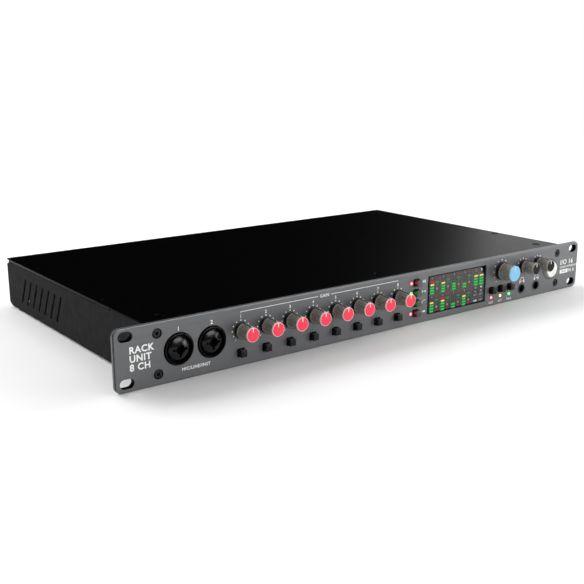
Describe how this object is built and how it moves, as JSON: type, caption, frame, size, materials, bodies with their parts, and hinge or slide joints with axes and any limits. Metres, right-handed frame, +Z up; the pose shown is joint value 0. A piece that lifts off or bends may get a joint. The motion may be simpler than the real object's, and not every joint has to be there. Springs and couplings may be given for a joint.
{
  "type": "audio interface",
  "caption": "One-unit 19-inch rack audio interface: grey panel with gain knobs and push buttons, combined sockets, meter window, monitor and headphone knobs, black steel case",
  "frame": {"origin": "middle of the unit's footprint, on the plane of the panel's lower edge", "axes": "+X to the right along the panel, +Y to the rear, +Z up; the controls face -Y"},
  "size_m": [0.4826, 0.2794, 0.0437],
  "materials": {
    "panel_grey": "satin anodised grey with a fine horizontal grain",
    "case_black": "satin black powder coat",
    "black_screw": "black oxide",
    "socket_black": "glossy black",
    "window_black": "smoked, glossy",
    "circuit_green": "solder mask",
    "supply_metal": "plain",
    "light_pipe": "clear moulding, frosted face",
    "knob_grey": "satin warm grey with fine streaks along the barrel",
    "cap_red": "satin red disc with a white rim and pointer",
    "cap_blue": "satin blue disc with a white rim and pointer",
    "cap_dark": "satin charcoal disc with a white rim and pointer",
    "button_black": "satin black",
    "power_white": "translucent white, lit from behind"
  },
  "bodies": {
    "chassis": {"front_panel": "panel_grey", "chassis_tray": "case_black", "top_cover": "case_black", "rear_panel": "case_black", "panel_screw_1": "black_screw", "panel_screw_2": "black_screw", "panel_screw_3": "black_screw", "panel_screw_4": "black_screw", "combo_jack_1": "socket_black", "combo_jack_2": "socket_black", "phones_jack_a": "socket_black", "phones_jack_b": "socket_black", "mains_inlet": "socket_black", "analogue_io_board": "socket_black", "digital_io_board": "socket_black", "meter_window": "window_black", "meter_board": "circuit_green", "control_board": "circuit_green", "main_board": "circuit_green", "power_supply": "supply_metal", "function_light_pipe": "light_pipe", "monitor_light_pipe": "light_pipe"},
    "gain_control_1": {"gain_knob_1": "knob_grey", "gain_cap_1": "cap_red"},
    "gain_control_2": {"gain_knob_2": "knob_grey", "gain_cap_2": "cap_red"},
    "gain_control_3": {"gain_knob_3": "knob_grey", "gain_cap_3": "cap_red"},
    "gain_control_4": {"gain_knob_4": "knob_grey", "gain_cap_4": "cap_red"},
    "gain_control_5": {"gain_knob_5": "knob_grey", "gain_cap_5": "cap_red"},
    "gain_control_6": {"gain_knob_6": "knob_grey", "gain_cap_6": "cap_red"},
    "gain_control_7": {"gain_knob_7": "knob_grey", "gain_cap_7": "cap_red"},
    "gain_control_8": {"gain_knob_8": "knob_grey", "gain_cap_8": "cap_red"},
    "monitor_control": {"monitor_knob": "knob_grey", "monitor_cap": "cap_blue"},
    "phones_control_a": {"phones_knob_a": "knob_grey", "phones_cap_a": "cap_dark"},
    "phones_control_b": {"phones_knob_b": "knob_grey", "phones_cap_b": "cap_dark"},
    "channel_button_1": {"channel_button_1": "button_black"},
    "channel_button_2": {"channel_button_2": "button_black"},
    "channel_button_3": {"channel_button_3": "button_black"},
    "channel_button_4": {"channel_button_4": "button_black"},
    "channel_button_5": {"channel_button_5": "button_black"},
    "channel_button_6": {"channel_button_6": "button_black"},
    "channel_button_7": {"channel_button_7": "button_black"},
    "channel_button_8": {"channel_button_8": "button_black"},
    "phantom_button": {"phantom_button": "button_black"},
    "line_button": {"line_button": "button_black"},
    "highpass_button": {"highpass_button": "button_black"},
    "instrument_button": {"instrument_button": "button_black"},
    "cut_button": {"cut_button": "button_black"},
    "alt_button": {"alt_button": "button_black"},
    "talk_button": {"talk_button": "button_black"},
    "power_button": {"power_button": "power_white"}
  },
  "joints": [
    {"name": "gain_control_1_turn", "type": "hinge", "parent": "chassis", "child": "gain_control_1", "pos_m": [-0.1438, -0.12435, 0.02635], "axis": [0, 1, 0], "range_deg": [-150, 150]},
    {"name": "gain_control_2_turn", "type": "hinge", "parent": "chassis", "child": "gain_control_2", "pos_m": [-0.12234, -0.12435, 0.02635], "axis": [0, 1, 0], "range_deg": [-150, 150]},
    {"name": "gain_control_3_turn", "type": "hinge", "parent": "chassis", "child": "gain_control_3", "pos_m": [-0.10088, -0.12435, 0.02635], "axis": [0, 1, 0], "range_deg": [-150, 150]},
    {"name": "gain_control_4_turn", "type": "hinge", "parent": "chassis", "child": "gain_control_4", "pos_m": [-0.07942, -0.12435, 0.02635], "axis": [0, 1, 0], "range_deg": [-150, 150]},
    {"name": "gain_control_5_turn", "type": "hinge", "parent": "chassis", "child": "gain_control_5", "pos_m": [-0.05796, -0.12435, 0.02635], "axis": [0, 1, 0], "range_deg": [-150, 150]},
    {"name": "gain_control_6_turn", "type": "hinge", "parent": "chassis", "child": "gain_control_6", "pos_m": [-0.0365, -0.12435, 0.02635], "axis": [0, 1, 0], "range_deg": [-150, 150]},
    {"name": "gain_control_7_turn", "type": "hinge", "parent": "chassis", "child": "gain_control_7", "pos_m": [-0.01504, -0.12435, 0.02635], "axis": [0, 1, 0], "range_deg": [-150, 150]},
    {"name": "gain_control_8_turn", "type": "hinge", "parent": "chassis", "child": "gain_control_8", "pos_m": [0.00642, -0.12435, 0.02635], "axis": [0, 1, 0], "range_deg": [-150, 150]},
    {"name": "monitor_control_turn", "type": "hinge", "parent": "chassis", "child": "monitor_control", "pos_m": [0.13165, -0.12435, 0.0302], "axis": [0, 1, 0], "range_deg": [-150, 150]},
    {"name": "phones_control_a_turn", "type": "hinge", "parent": "chassis", "child": "phones_control_a", "pos_m": [0.1607, -0.12435, 0.0303], "axis": [0, 1, 0], "range_deg": [-150, 150]},
    {"name": "phones_control_b_turn", "type": "hinge", "parent": "chassis", "child": "phones_control_b", "pos_m": [0.1809, -0.12435, 0.0303], "axis": [0, 1, 0], "range_deg": [-150, 150]},
    {"name": "channel_button_1_press", "type": "slide", "parent": "chassis", "child": "channel_button_1", "axis": [0, 1, 0], "range_m": [0, 0.001], "stiffness_N_per_m": 500, "springref_m": -0.002},
    {"name": "channel_button_2_press", "type": "slide", "parent": "chassis", "child": "channel_button_2", "axis": [0, 1, 0], "range_m": [0, 0.001], "stiffness_N_per_m": 500, "springref_m": -0.002},
    {"name": "channel_button_3_press", "type": "slide", "parent": "chassis", "child": "channel_button_3", "axis": [0, 1, 0], "range_m": [0, 0.001], "stiffness_N_per_m": 500, "springref_m": -0.002},
    {"name": "channel_button_4_press", "type": "slide", "parent": "chassis", "child": "channel_button_4", "axis": [0, 1, 0], "range_m": [0, 0.001], "stiffness_N_per_m": 500, "springref_m": -0.002},
    {"name": "channel_button_5_press", "type": "slide", "parent": "chassis", "child": "channel_button_5", "axis": [0, 1, 0], "range_m": [0, 0.001], "stiffness_N_per_m": 500, "springref_m": -0.002},
    {"name": "channel_button_6_press", "type": "slide", "parent": "chassis", "child": "channel_button_6", "axis": [0, 1, 0], "range_m": [0, 0.001], "stiffness_N_per_m": 500, "springref_m": -0.002},
    {"name": "channel_button_7_press", "type": "slide", "parent": "chassis", "child": "channel_button_7", "axis": [0, 1, 0], "range_m": [0, 0.001], "stiffness_N_per_m": 500, "springref_m": -0.002},
    {"name": "channel_button_8_press", "type": "slide", "parent": "chassis", "child": "channel_button_8", "axis": [0, 1, 0], "range_m": [0, 0.001], "stiffness_N_per_m": 500, "springref_m": -0.002},
    {"name": "phantom_button_press", "type": "slide", "parent": "chassis", "child": "phantom_button", "axis": [0, 1, 0], "range_m": [0, 0.001], "stiffness_N_per_m": 500, "springref_m": -0.002},
    {"name": "line_button_press", "type": "slide", "parent": "chassis", "child": "line_button", "axis": [0, 1, 0], "range_m": [0, 0.001], "stiffness_N_per_m": 500, "springref_m": -0.002},
    {"name": "highpass_button_press", "type": "slide", "parent": "chassis", "child": "highpass_button", "axis": [0, 1, 0], "range_m": [0, 0.001], "stiffness_N_per_m": 500, "springref_m": -0.002},
    {"name": "instrument_button_press", "type": "slide", "parent": "chassis", "child": "instrument_button", "axis": [0, 1, 0], "range_m": [0, 0.001], "stiffness_N_per_m": 500, "springref_m": -0.002},
    {"name": "cut_button_press", "type": "slide", "parent": "chassis", "child": "cut_button", "axis": [0, 1, 0], "range_m": [0, 0.001], "stiffness_N_per_m": 500, "springref_m": -0.002},
    {"name": "alt_button_press", "type": "slide", "parent": "chassis", "child": "alt_button", "axis": [0, 1, 0], "range_m": [0, 0.001], "stiffness_N_per_m": 500, "springref_m": -0.002},
    {"name": "talk_button_press", "type": "slide", "parent": "chassis", "child": "talk_button", "axis": [0, 1, 0], "range_m": [0, 0.001], "stiffness_N_per_m": 500, "springref_m": -0.002},
    {"name": "power_button_press", "type": "slide", "parent": "chassis", "child": "power_button", "axis": [0, 1, 0], "range_m": [0, 0.0015], "stiffness_N_per_m": 500, "springref_m": -0.002}
  ]
}
